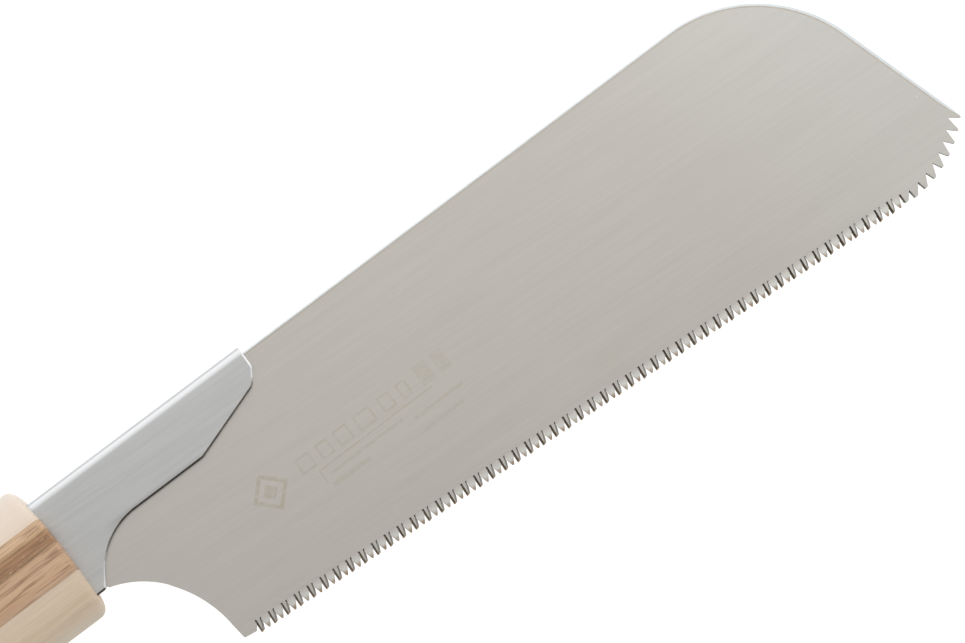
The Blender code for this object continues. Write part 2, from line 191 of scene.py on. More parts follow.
def cut(target, cutter, operation="DIFFERENCE"):
    mod = target.modifiers.new("cut", "BOOLEAN")
    mod.operation = operation
    mod.solver = "EXACT"
    mod.object = cutter
    bpy.context.view_layer.update()
    dg = bpy.context.evaluated_depsgraph_get()
    me = bpy.data.meshes.new_from_object(target.evaluated_get(dg))
    old = target.data
    name = old.name
    target.modifiers.remove(mod)
    target.data = me
    bpy.data.meshes.remove(old)
    me.name = name
    bpy.data.objects.remove(cutter, do_unlink=True)


def tool(bm):
    return as_object("cutter", bm, [], smooth=False)


# ------------------------------------------------------------ material helper
class Net:
    """Small helper for building one procedural material."""

    def __init__(self, name):
        self.mat = bpy.data.materials.new(name)
        self.mat.use_nodes = True
        self.nt = self.mat.node_tree
        self.bsdf = self.nt.nodes["Principled BSDF"]
        co = self.nt.nodes.new("ShaderNodeTexCoord")
        sub = self.vec("SUBTRACT", co.outputs["Object"], tuple(ORIGIN))
        self.p = self.vec("MULTIPLY", sub, (1000.0, 1000.0, 1000.0))   # saw millimetres
        sep = self.nt.nodes.new("ShaderNodeSeparateXYZ")
        self.nt.links.new(self.p, sep.inputs[0])
        self.x, self.y, self.z = sep.outputs

    def link(self, out, socket):
        self.nt.links.new(out, socket)

    def vec(self, op, a, b):
        n = self.nt.nodes.new("ShaderNodeVectorMath")
        n.operation = op
        for i, v in enumerate((a, b)):
            if isinstance(v, tuple):
                n.inputs[i].default_value = v
            else:
                self.nt.links.new(v, n.inputs[i])
        return n.outputs[0]

    def math(self, op, a, b=0.0, clamp=False):
        n = self.nt.nodes.new("ShaderNodeMath")
        n.operation = op
        n.use_clamp = clamp
        for i, v in enumerate((a, b)):
            if isinstance(v, (int, float)):
                n.inputs[i].default_value = v
            else:
                self.nt.links.new(v, n.inputs[i])
        return n.outputs[0]

    def turned(self, degrees):
        """Saw coordinates turned about Z, so that streaks run at that angle."""
        n = self.nt.nodes.new("ShaderNodeMapping")
        n.inputs["Rotation"].default_value = (0.0, 0.0, math.radians(-degrees))
        self.nt.links.new(self.p, n.inputs["Vector"])
        return n.outputs[0]

    def noise(self, vector, scale, detail=2.0, rough=0.5, seed=(0.0, 0.0, 0.0)):
        """Noise whose cells measure 1/scale millimetres along each axis."""
        v = self.vec("MULTIPLY", vector, scale)
        v = self.vec("ADD", v, seed)
        n = self.nt.nodes.new("ShaderNodeTexNoise")
        n.inputs["Scale"].default_value = 1.0
        n.inputs["Detail"].default_value = detail
        n.inputs["Roughness"].default_value = rough
        self.nt.links.new(v, n.inputs["Vector"])
        return n.outputs["Fac"]

    def remap(self, fac, a, b, c=0.0, d=1.0, smooth=False):
        n = self.nt.nodes.new("ShaderNodeMapRange")
        n.clamp = True
        n.interpolation_type = "SMOOTHSTEP" if smooth else "LINEAR"
        n.inputs["From Min"].default_value = a
        n.inputs["From Max"].default_value = b
        n.inputs["To Min"].default_value = c
        n.inputs["To Max"].default_value = d
        self.nt.links.new(fac, n.inputs["Value"])
        return n.outputs["Result"]

    def ramp(self, fac, stops):
        n = self.nt.nodes.new("ShaderNodeValToRGB")
        cr = n.color_ramp
        cr.interpolation = "LINEAR"
        while len(cr.elements) < len(stops):
            cr.elements.new(0.5)
        for e, (pos, col) in zip(cr.elements, stops):
            e.position = pos
            e.color = (*col, 1.0)
        self.nt.links.new(fac, n.inputs[0])
        return n.outputs[0]

    def mix(self, fac, a, b, blend="MIX"):
        n = self.nt.nodes.new("ShaderNodeMix")
        n.data_type = "RGBA"
        n.blend_type = blend
        for sock, v in ((n.inputs[0], fac), (n.inputs[6], a), (n.inputs[7], b)):
            if isinstance(v, (int, float)):
                sock.default_value = v
            elif isinstance(v, tuple):
                sock.default_value = (*v, 1.0)
            else:
                self.nt.links.new(v, sock)
        return n.outputs[2]

    def bump(self, height, distance_mm, strength=1.0):
        n = self.nt.nodes.new("ShaderNodeBump")
        n.inputs["Strength"].default_value = strength
        n.inputs["Distance"].default_value = distance_mm * MM
        self.nt.links.new(height, n.inputs["Height"])
        self.nt.links.new(n.outputs[0], self.bsdf.inputs["Normal"])

    def box_mask(self, cx, cy, hw, hh, soft=0.12, turn=0.0):
        """1 inside a rectangle, fading over soft millimetres."""
        dx = self.math("SUBTRACT", self.x, cx)
        dy = self.math("SUBTRACT", self.y, cy)
        if turn:
            c, s = math.cos(math.radians(turn)), math.sin(math.radians(turn))
            ux = self.math("ADD", self.math("MULTIPLY", dx, c), self.math("MULTIPLY", dy, s))
            uy = self.math("SUBTRACT", self.math("MULTIPLY", dy, c), self.math("MULTIPLY", dx, s))
            dx, dy = ux, uy
        ax = self.math("SUBTRACT", self.math("ABSOLUTE", dx), hw)
        ay = self.math("SUBTRACT", self.math("ABSOLUTE", dy), hh)
        d = self.math("MAXIMUM", ax, ay)
        return self.remap(d, soft / 2, -soft / 2)


def srgb(r, g, b):
    """8-bit display colour as linear values."""
    out = []
    for v in (r, g, b):
        v /= 255.0
        out.append(v / 12.92 if v <= 0.04045 else ((v + 0.055) / 1.055) ** 2.4)
    return tuple(out)


# ------------------------------------------------------------------ materials
STEEL = (0.545, 0.517, 0.473)
SHEET = (0.520, 0.522, 0.515)


def steel_face():
    """Satin-ground blade face with printed marks and browned tooth points."""
    m = Net("blade_face_steel")
    turned = m.turned(-3.0)
    fine = m.noise(turned, (0.05, 1.7, 0.4), 1.0, 0.5, (3.1, 7.7, 0.0))
    bands = m.noise(turned, (0.010, 0.30, 0.1), 2.0, 0.5, (11.0, 2.0, 5.0))
    cloud = m.noise(m.p, (0.018, 0.03, 0.05), 2.0, 0.5, (40.0, 9.0, 1.0))
    specks = m.noise(m.p, (1.1, 1.3, 1.0), 1.0, 0.5, (5.0, 5.0, 5.0))
    col = m.mix(m.remap(fine, 0.30, 0.70), tuple(c * 0.98 for c in STEEL), tuple(c * 1.02 for c in STEEL))
    col = m.mix(m.remap(bands, 0.32, 0.68), col, (1.022, 1.022, 1.024), "MULTIPLY")
    col = m.mix(m.remap(cloud, 0.3, 0.7, 0.0, 1.0), col, (0.984, 0.986, 0.992), "MULTIPLY")
    # painted reflection: the steel is drawn a little cooler towards the toe
    col = m.mix(m.remap(m.x, 120.0, 185.0), col, m.mix(1.0, col, (1.0, 1.025, 1.05), "MULTIPLY"))
    # painted shade: the face is drawn darker across its middle and lighter again towards the toe, following how the
    # light falls along it
    tone = m.ramp(m.remap(m.x, 0.0, 200.0), [(0.0, (1.0, 1.0, 1.0)), (0.125, (1.0, 1.0, 1.0)), (0.325, (0.965, 0.962, 0.958)),
                                             (0.525, (0.935, 0.932, 0.930)), (0.72, (0.945, 0.943, 0.940)), (0.9, (0.975, 0.975, 0.975))])
    col = m.mix(1.0, col, tone, "MULTIPLY")
    # painted shade: the face is drawn darker low down towards the toe
    low_toe_shade = m.math("MULTIPLY", m.remap(m.x, 100.0, 145.0), m.remap(m.y, 6.0, -36.0))
    col = m.mix(low_toe_shade, col, m.mix(1.0, col, (0.93, 0.925, 0.915), "MULTIPLY"))
    # a few tiny bright nicks
    nick = m.remap(specks, 0.80, 0.86)
    col = m.mix(m.math("MULTIPLY", nick, 0.35), col, (0.80, 0.80, 0.78))
    # faint etched marks: a lozenge, a row of blocks and a few hairlines
    marks = None

    def put(mask, strength=1.0):
        nonlocal marks
        if strength != 1.0:
            mask = m.math("MULTIPLY", mask, strength)
        marks = mask if marks is None else m.math("MAXIMUM", marks, mask)

    outer = m.box_mask(39.6, -15.9, 3.05, 3.05, 0.25, 45.0)
    inner = m.box_mask(39.6, -15.9, 2.25, 2.25, 0.25, 45.0)
    core = m.box_mask(39.6, -15.9, 1.25, 1.25, 0.25, 45.0)
    put(m.math("SUBTRACT", outer, inner, clamp=True))
    put(core, 0.9)
    for cx, hw in ((48.6, 1.7), (53.4, 1.5), (58.0, 1.7), (63.4, 2.1), (68.9, 1.5), (73.2, 1.2)):
        bar = m.box_mask(cx, -15.5, hw, 1.75, 0.3)
        gap = m.box_mask(cx, -15.5, hw - 0.42, 1.28, 0.3)
        put(m.math("SUBTRACT", bar, gap, clamp=True), 0.75)
    for cx, hw in ((78.4, 1.6), (82.6, 1.4)):
        put(m.box_mask(cx, -15.3, hw, 2.3, 0.3), 0.45)
    put(m.box_mask(64.0, -18.45, 14.0, 0.16, 0.14), 0.9)
    put(m.box_mask(49.9, -20.0, 0.14, 1.7, 0.14), 0.7)
    put(m.box_mask(60.5, -20.2, 9.0, 0.34, 0.25), 0.55)
    put(m.box_mask(55.0, -22.4, 4.6, 0.55, 0.3), 0.6)
    put(m.box_mask(77.5, -21.6, 6.0, 0.38, 0.25), 0.6)
    put(m.box_mask(76.5, -24.6, 5.0, 0.38, 0.25), 0.5)
    wear = m.noise(m.p, (0.9, 0.9, 0.5), 3.0, 0.7, (1.0, 30.0, 2.0))
    marks = m.math("MULTIPLY", marks, m.remap(wear, 0.34, 0.60, 0.25, 0.95))
    smear = m.math("MULTIPLY", m.box_mask(110.0, -36.3, 1.2, 1.8, 2.6, 20.0), 0.12)
    marks = m.math("MAXIMUM", marks, smear)
    col = m.mix(m.math("MULTIPLY", marks, 0.62), col, (0.415, 0.370, 0.268))
    # heat tint over the hardened tooth points
    ex, ey = TIP_B[0] - TIP_A[0], TIP_B[1] - TIP_A[1]
    ln = math.hypot(ex, ey)
    ex, ey = ex / ln, ey / ln
    h = m.math("ADD", m.math("MULTIPLY", m.math("SUBTRACT", m.x, TIP_A[0]), -ey),
               m.math("MULTIPLY", m.math("SUBTRACT", m.y, TIP_A[1]), ex))
    s = m.math("ADD", m.math("MULTIPLY", m.math("SUBTRACT", m.x, TIP_A[0]), ex),
               m.math("MULTIPLY", m.math("SUBTRACT", m.y, TIP_A[1]), ey))
    filed = m.math("MULTIPLY", m.remap(h, 2.9, 1.5, 0.0, 1.0, True),
                   m.math("MULTIPLY", m.remap(s, ln + 2.6, ln + 2.0), m.remap(s, -0.7, -0.4)))
    col = m.mix(m.math("MULTIPLY", filed, 0.6), col, (0.62, 0.62, 0.585))
    # every second tooth is browned further up
    turn = m.math("FRACT", m.math("MULTIPLY", s, N_PITCH / (2 * ln)))
    second = m.remap(m.math("ABSOLUTE", m.math("SUBTRACT", turn, 0.58)), 0.24, 0.14)
    tint = m.math("MAXIMUM", m.remap(h, 1.05, 0.25, 0.0, 1.0, True),
                  m.math("MULTIPLY", second, m.remap(h, 1.45, 0.55, 0.0, 1.0, True)))
    along = m.math("MULTIPLY", m.remap(s, ln + 2.5, ln + 2.1), m.remap(s, -1.2, -0.5))
    uneven = m.remap(m.noise(m.p, (0.35, 0.35, 0.3), 1.0, 0.5, (8.0, 8.0, 8.0)), 0.35, 0.65, 0.60, 1.0)
    tint = m.math("MULTIPLY", m.math("MULTIPLY", tint, along), uneven)
    col = m.mix(m.math("MULTIPLY", tint, 0.85), col, (0.235, 0.150, 0.078))
    # painted shade: a dark brown line along the handle-side edge of every second tooth, where that flank faces away
    # from the light
    step = m.math("MULTIPLY", turn, 2 * ln / N_PITCH)
    edge = m.math("ADD", m.math("MULTIPLY", m.math("SUBTRACT", 1.62, h), 0.288), 1.235)
    edge = m.remap(m.math("ABSOLUTE", m.math("SUBTRACT", step, edge)), 0.13, 0.06)
    edge = m.math("MULTIPLY", edge, m.math("MULTIPLY", m.remap(h, 0.2, 0.4), m.remap(h, 2.2, 1.5)))
    edge = m.math("MULTIPLY", edge, along)
    col = m.mix(m.math("MULTIPLY", edge, 0.75), col, (0.27, 0.21, 0.15))
    m.link(col, m.bsdf.inputs["Base Color"])
    m.bsdf.inputs["Metallic"].default_value = 1.0
    rough = m.remap(fine, 0.25, 0.75, 0.295, 0.37)
    rough = m.math("ADD", rough, m.math("MULTIPLY", marks, 0.12))
    m.link(rough, m.bsdf.inputs["Roughness"])
    m.bump(bands, 0.0012, 0.3)
    return m.mat


def steel_plain(name, base, lo=0.28, hi=0.42, streak=(0.05, 3.0, 0.6), contrast=0.05, metallic=1.0, turn=-5.0):
    """Ground steel with streaks; used for rims, flanks and pins."""
    m = Net(name)
    fine = m.noise(m.turned(turn), streak, 3.0, 0.6, (2.0, 9.0, 4.0))
    blot = m.noise(m.p, (0.5, 0.5, 0.5), 2.0, 0.6, (7.0, 1.0, 3.0))
    col = m.mix(m.remap(fine, 0.3, 0.7), tuple(c * (1 - contrast) for c in base),
                tuple(min(1.0, c * (1 + contrast)) for c in base))
    col = m.mix(m.remap(blot, 0.35, 0.65), col, (1.0 - contrast, 1.0 - contrast, 1.0 - contrast), "MULTIPLY")
    m.link(col, m.bsdf.inputs["Base Color"])
    m.bsdf.inputs["Metallic"].default_value = metallic
    m.link(m.remap(fine, 0.25, 0.75, lo, hi), m.bsdf.inputs["Roughness"])
    m.bump(fine, 0.002, 0.4)
    return m.mat


def sheet_steel():
    """Cool rolled sheet, brushed along its length, with faint wear."""
    m = Net("holder_sheet_steel")
    turned = m.turned(-2.0)
    fine = m.noise(turned, (0.07, 1.6, 1.6), 1.0, 0.5, (21.0, 3.0, 6.0))
    bands = m.noise(turned, (0.02, 0.45, 0.45), 2.0, 0.5, (1.0, 12.0, 8.0))
    cloud = m.noise(m.p, (0.05, 0.08, 0.08), 2.0, 0.5, (4.0, 9.0, 1.0))
    col = m.mix(m.remap(fine, 0.30, 0.70), tuple(c * 0.965 for c in SHEET), tuple(c * 1.035 for c in SHEET))
    col = m.mix(m.remap(bands, 0.32, 0.68), col, (1.03, 1.03, 1.03), "MULTIPLY")
    col = m.mix(m.remap(cloud, 0.3, 0.7), col, (0.985, 0.985, 0.98), "MULTIPLY")
    # painted light: drawn brighter and cooler where it leaves the wood, against the wood's shade and brown
    # reflection there
    col = m.mix(m.remap(m.x, 4.5, 0.3, 0.0, 1.0, True), col, m.mix(1.0, col, (1.0, 1.02, 1.045), "MULTIPLY"))
    # painted reflection on the fold: tinted cooler, with a darker line drawn along it where the curve turns away
    # from the light
    col = m.mix(m.remap(m.y, 9.2, 10.2), col, m.mix(1.0, col, (0.985, 1.0, 1.025), "MULTIPLY"))
    fold_shade_line = m.remap(m.math("ABSOLUTE", m.math("SUBTRACT", m.y, 10.78)), 0.26, 0.06)
    col = m.mix(fold_shade_line, col, m.mix(1.0, col, (0.86, 0.865, 0.87), "MULTIPLY"))
    # painted shade: a darker band just inside the level cut edge, standing in for the sheet rolling over there
    rolled_edge_shade = m.math("MULTIPLY", m.remap(m.y, -0.9, -2.0, 0.0, 1.0, True),
                  m.math("MULTIPLY", m.remap(m.x, 9.0, 13.0), m.remap(m.x, 36.0, 32.0)))
    col = m.mix(m.math("MULTIPLY", rolled_edge_shade, 0.85), col, m.mix(1.0, col, (0.84, 0.83, 0.82), "MULTIPLY"))
    m.link(col, m.bsdf.inputs["Base Color"])
    m.bsdf.inputs["Metallic"].default_value = 1.0
    m.link(m.remap(fine, 0.25, 0.75, 0.295, 0.37), m.bsdf.inputs["Roughness"])
    m.bump(bands, 0.0015, 0.3)
    return m.mat


def wood(name, y0, y1, stops, streaks, seed, deep=0.0):
    """Straight-grained wood coloured by its growth layers, which lie across
    the handle's height, and by painted shade where the stops darken towards an outer edge.
    stops are (y in millimetres, display colour); streaks is the contrast of the fine grain lines, deep that of the
    pores."""
    m = Net(name)
    # the layers wander a little further back along the handle
    away = m.remap(m.x, -14.0, -80.0)
    wander = m.noise(m.p, (0.010, 0.02, 0.02), 2.0, 0.5, (seed, 2.0, 5.0))
    wander = m.math("MULTIPLY", m.math("SUBTRACT", wander, 0.5), 7.0)
    wander = m.math("MULTIPLY", wander, away)
    wobble = m.math("MULTIPLY", m.math("SUBTRACT", m.noise(m.p, (0.06, 0.25, 0.25), 2.0, 0.5, (seed, 8.0, 1.0)), 0.5), 0.9)
    bow = m.math("MULTIPLY", m.math("ADD", m.z, 0.0), 0.02)
    yy = m.math("ADD", m.math("ADD", m.y, wander), m.math("ADD", wobble, bow))
    # in depth the layers keep a slight tilt, seen on the two ends
    fac = m.remap(yy, y0, y1)
    col = m.ramp(fac, [((y - y0) / (y1 - y0), srgb(*c)) for y, c in stops])
    fine = m.noise(m.p, (0.045, 2.6, 0.9), 4.0, 0.62, (seed, 1.0, 2.0))
    fibre = m.noise(m.p, (0.12, 5.0, 3.0), 3.0, 0.65, (seed, 4.0, 9.0))
    pores = m.noise(m.p, (0.13, 3.4, 2.4), 1.0, 0.5, (seed, 14.0, 3.0))
    flecks = m.noise(m.p, (0.7, 3.2, 2.4), 1.0, 0.5, (seed, 24.0, 6.0))
    grain = m.math("ADD", m.math("MULTIPLY", fine, 0.5), m.math("MULTIPLY", fibre, 0.5))
    dark = tuple(1.0 - streaks * k for k in (0.75, 1.0, 1.25))
    light = tuple(1.0 + streaks * k for k in (0.35, 0.35, 0.35))
    tone = m.mix(m.remap(grain, 0.38, 0.60), dark, light)
    col = m.mix(1.0, col, tone, "MULTIPLY")
    if deep:
        p = m.remap(pores, 0.56, 0.64)
        col = m.mix(m.math("MULTIPLY", p, deep), col, srgb(112, 80, 58))
        q = m.math("MULTIPLY", m.remap(flecks, 0.66, 0.72), m.math("MULTIPLY", m.remap(m.y, 1.2, 2.0), m.remap(m.y, 5.6, 4.6)))
        col = m.mix(m.math("MULTIPLY", q, deep), col, srgb(206, 178, 150))
    m.link(col, m.bsdf.inputs["Base Color"])
    m.bsdf.inputs["Specular IOR Level"].default_value = 0.32
    m.link(m.remap(grain, 0.3, 0.7, 0.52, 0.66), m.bsdf.inputs["Roughness"])
    height = m.math("ADD", m.math("MULTIPLY", fine, 0.6), m.math("MULTIPLY", fibre, 0.4))
    m.bump(height, 0.05, 0.5)
    return m.mat


FACE = steel_face()
RIM = steel_plain("blade_rim_steel", (0.410, 0.432, 0.442), 0.29, 0.36)
# painted shade: a darker, browner line just inside the ground rim, standing in for the edge rolling off there
SHADE_LINE_STEEL = steel_plain("blade_painted_shade_line_steel", (0.488, 0.447, 0.392), 0.295, 0.38)
WALL = steel_plain("blade_edge_steel", (0.44, 0.42, 0.39), 0.30, 0.42, (0.8, 0.8, 4.0))
# painted shade: the handle-side tooth flanks get a darker, browner copy of the flank steel, as they face away from
# the light
SHADED_RAKE = steel_plain("tooth_rake_painted_shade_steel", (0.155, 0.120, 0.080), 0.34, 0.50, (1.2, 1.2, 2.0), 0.25)
BEVEL = steel_plain("tooth_bevel_steel", (0.27, 0.25, 0.22), 0.32, 0.46, (1.2, 1.2, 2.0), 0.15)
CROWN = steel_plain("tooth_crown_steel", (0.30, 0.22, 0.14), 0.32, 0.46, (1.2, 1.2, 2.0), 0.15)
TOE_FLANK = steel_plain("toe_tooth_flank_steel", (0.22, 0.21, 0.195), 0.32, 0.46, (1.2, 1.2, 2.0), 0.12)
HOLDER = sheet_steel()
# painted light and shade: the cheeks' cut edges get a dark copy where they face down, a bright one where they face
# the toe and a middle one between
CUT = steel_plain("holder_cut_edge_painted_shade_steel", (0.265, 0.242, 0.212), 0.295, 0.40, (0.8, 0.8, 3.0), 0.12)
NOSE_CUT = steel_plain("holder_nose_edge_painted_highlight_steel", (0.56, 0.565, 0.57), 0.29, 0.36, (0.8, 0.8, 3.0), 0.08)
HEEL_CUT = steel_plain("holder_heel_edge_painted_half_shade_steel", (0.40, 0.385, 0.365), 0.295, 0.38, (0.8, 0.8, 3.0), 0.10)
SHEARED = steel_plain("holder_sheared_wall_steel", (0.40, 0.39, 0.37), 0.42, 0.58, (0.8, 0.8, 3.0), 0.10, 0.35)
PIN = steel_plain("pin_drawn_steel", (0.47, 0.47, 0.48), 0.29, 0.40, (2.0, 2.0, 0.3), 0.08)

TOP_STOPS = [(7.0, (223, 203, 185)), (8.0, (223, 205, 188)), (9.2, (222, 207, 191)), (10.5, (222, 207, 192)),
             (12.0, (219, 205, 192)), (13.2, (218, 204, 191)), (14.4, (215, 204, 192)), (15.8, (212, 203, 191))]
CORE_STOPS = [(-5.4, (168, 141, 116)), (-4.6, (182, 153, 127)), (-3.0, (193, 159, 130)), (-2.0, (198, 167, 136)),
              (-1.0, (198, 167, 138)), (-0.1, (178, 146, 118)), (0.5, (199, 167, 139)), (1.5, (193, 160, 130)),
              (2.0, (146, 118, 90)), (2.6, (164, 130, 98)), (3.0, (163, 126, 96)), (3.5, (168, 133, 105)),
              (4.0, (155, 119, 88)), (4.6, (181, 144, 110)), (5.1, (172, 141, 109)), (5.5, (199, 167, 132)),
              (6.0, (210, 178, 145)), (6.5, (209, 178, 148)), (7.0, (203, 173, 142)), (7.5, (200, 170, 139))]
# darker towards the bottom edge: partly the wood's own tone, partly painted shade where the section rounds away
# from the light
LOW_STOPS = [(-16.0, (182, 171, 155)), (-14.4, (189, 176, 158)), (-13.0, (196, 178, 157)), (-12.2, (193, 174, 152)),
             (-11.0, (203, 185, 162)), (-10.4, (202, 181, 156)), (-9.4, (207, 187, 164)), (-8.0, (206, 187, 165)),
             (-7.0, (207, 188, 166)), (-6.0, (205, 187, 166)), (-5.0, (203, 186, 166))]
WOOD_TOP = wood("pale_wood_top_grain", 7.0, 15.8, TOP_STOPS, 0.055, 3.0)
WOOD_CORE = wood("brown_wood_core_grain", -5.4, 7.5, CORE_STOPS, 0.20, 17.0, 0.50)
WOOD_LOW = wood("pale_wood_bottom_grain", -16.0, -5.0, LOW_STOPS, 0.075, 29.0, 0.06)


# ---------------------------------------------------------------------- blade
def fine_tooth_rows():
    ex, ey = TIP_B[0] - TIP_A[0], TIP_B[1] - TIP_A[1]
    length = math.hypot(ex, ey)
    ex, ey = ex / length, ey / length
    nx, ny = -ey, ex
    pitch = length / N_PITCH

    def at(base, s, h):
        return (TIP_A[0] + ex * (base + s) + nx * h, TIP_A[1] + ey * (base + s) + ny * h)

    d = TOOTH_DEPTH
    rows = []
    for k in range(N_PITCH // 2 + 1):
        b = 2 * pitch * k
        rows.append(("apex",
                     [at(b, -0.25, 1.75), at(b, -0.24, d - 0.05), at(b, 0.20, d)],
                     [at(b, -0.57, d - 0.05), at(b, -0.26, d - 0.02), at(b, -0.26, 1.70)], 0))
        rows.append(("tooth",
                     [at(b, 0.19, 0.44), at(b, 0.235, 0.24), at(b, 0.30, 0.44)],
                     [at(b, -0.22, 0.12), at(b, 0.0, 0.0), at(b, 0.66, 0.28)], -1))
        rows.append(("apex",
                     [at(b, 0.97, d - 0.05), at(b, 1.28, d - 0.02), at(b, 1.17, 1.62)],
                     [at(b, 1.12, 1.58), at(b, 1.28, d - 0.07), at(b, 1.73, d - 0.03)], 0))
        rows.append(("tooth",
                     [at(b, 1.55, 0.30), at(b, 1.75, 0.08), at(b, 2.01, 0.28)],
                     [at(b, 1.74, 0.44), at(b, 1.79, 0.26), at(b, 1.86, 0.44)], 1))
    return rows


def toe_tooth_rows():
    tips = [math.radians(-94.18 + 6.159 * k) for k in range(9)]
    guls = [math.radians(-87.41 + 6.026 * k) for k in range(8)]
    rows = []
    for k in range(9):
        a = tips[k]
        cx, cy = TOE_C[0] + TOE_R * math.cos(a), TOE_C[1] + TOE_R * math.sin(a)
        tx, ty = -math.sin(a), math.cos(a)
        w = 0.34 - 0.02 * k
        lo, hi = (cx - tx * w, cy - ty * w), (cx + tx * w, cy + ty * w)
        mid = (cx + math.cos(a) * 0.07, cy + math.sin(a) * 0.07)
        if k == 0:
            rows.append(("toe", [(178.12, -46.80), (178.20, -47.00), (178.80, -47.05)],
                         [(177.80, -46.88), (178.22, -47.14), (178.80, -47.05)], 0))
        else:
            # how far the filed flank slopes out
            lean = (0.0, 0.30, 0.28, 0.20, 0.14, 0.12, 0.08, 0.06, 0.05)[k]
            rows.append(("toe", [lo, mid, hi], [(lo[0] - tx * lean, lo[1] - ty * lean), mid, hi], 0))
        if k < 8:
            g = guls[k]
            p = (TOE_GC[0] + TOE_GR * math.cos(g), TOE_GC[1] + TOE_GR * math.sin(g))
            q0 = (p[0] - 0.07, p[1] - 0.05)
            lean = (0.28, 0.26, 0.18, 0.13, 0.11, 0.07, 0.05, 0.04)[k]
            rows.append(("gullet", [q0, (p[0] + 0.07, p[1])], [q0, (p[0] + 0.07 - lean, p[1] + 0.02)], 0))
    return rows


def heel_curve():
    pts = arc(HEEL_C1[0], HEEL_C1[1], HEEL_R1, 72.5, 38.5, 30)
    a0 = math.degrees(math.atan2(pts[-1][1] - HEEL_C2[1], pts[-1][0] - HEEL_C2[0]))
    pts += arc(HEEL_C2[0], HEEL_C2[1], HEEL_R2, a0 - 2.0, 3.4, 32)
    pts += fillet(pts[-1], HEEL_CORNER, FLAT_END, 0.35, 5)
    return pts


def rim_points():
    """(x, y, chamfer width) from the toe's last tip to the heel corner."""
    front = []
    dx, dy = TOE_FRONT_TOP[0] - TOE_FRONT_LOW[0], TOE_FRONT_TOP[1] - TOE_FRONT_LOW[1]
    ln = math.hypot(dx, dy)
    ox, oy = dy / ln, -dx / ln             # away from the blade
    for i in range(11):
        t = i / 10
        g = 0.12 + 0.12 * t                # ground rim beyond the plain outline
        front.append((TOE_FRONT_LOW[0] + dx * t + ox * g, TOE_FRONT_LOW[1] + dy * t + oy * g,
                      0.50 if i == 0 else 0.58 + 0.06 * t))
    out = [(198.06, -39.60, 0.0)] + front
    bow = arc_through(TOE_ARC_C, TOE_FRONT_TOP, (TOE_ARC_C[0], BACK_Y), 64, True)[1:]
    bow[-1] = (TOE_ARC_C[0], BACK_Y)
    for i, (x, y) in enumerate(bow):
        t = (i + 1) / len(bow)
        g = 0.24 - 0.09 * t
        ux, uy = x - TOE_ARC_C[0], y - TOE_ARC_C[1]
        ul = math.hypot(ux, uy)
        out.append((x + ux / ul * g, y + uy / ul * g, 0.64 - 0.29 * t))
    for i in range(1, 13):
        x = TOE_ARC_C[0] + (20.0 - TOE_ARC_C[0]) * i / 12
        out.append((x, BACK_Y + 0.15, 0.35 if i < 12 else 0.0))
    tail = []
    tail += fillet((160.3, BACK_Y), (14.0, BACK_Y), (-10.3, 3.0), 8.0, 6)
    tail += fillet((14.0, BACK_Y), (-10.3, 3.0), (-10.3, -11.2), 3.0, 8)
    tail += fillet((-10.3, 3.0), (-10.3, -11.2), (-4.6, -11.2), 1.0, 4)
    tail += [(HOOK_X - NOTCH_R - 0.5, -11.2), (HOOK_X - NOTCH_R, -10.4)]
    tail += arc(HOOK_X, HOOK_Y, NOTCH_R, 180, 0, 24)
    tail += [(HOOK_X + NOTCH_R, -9.4), (HOOK_X + NOTCH_R + 0.4, -9.9)]
    tail += [(1.0, -10.0), (2.25, -10.75)]
    tail += heel_curve()
    tail += [FLAT_END]
    out += [(x, y, 0.0) for x, y in tail]
    return out


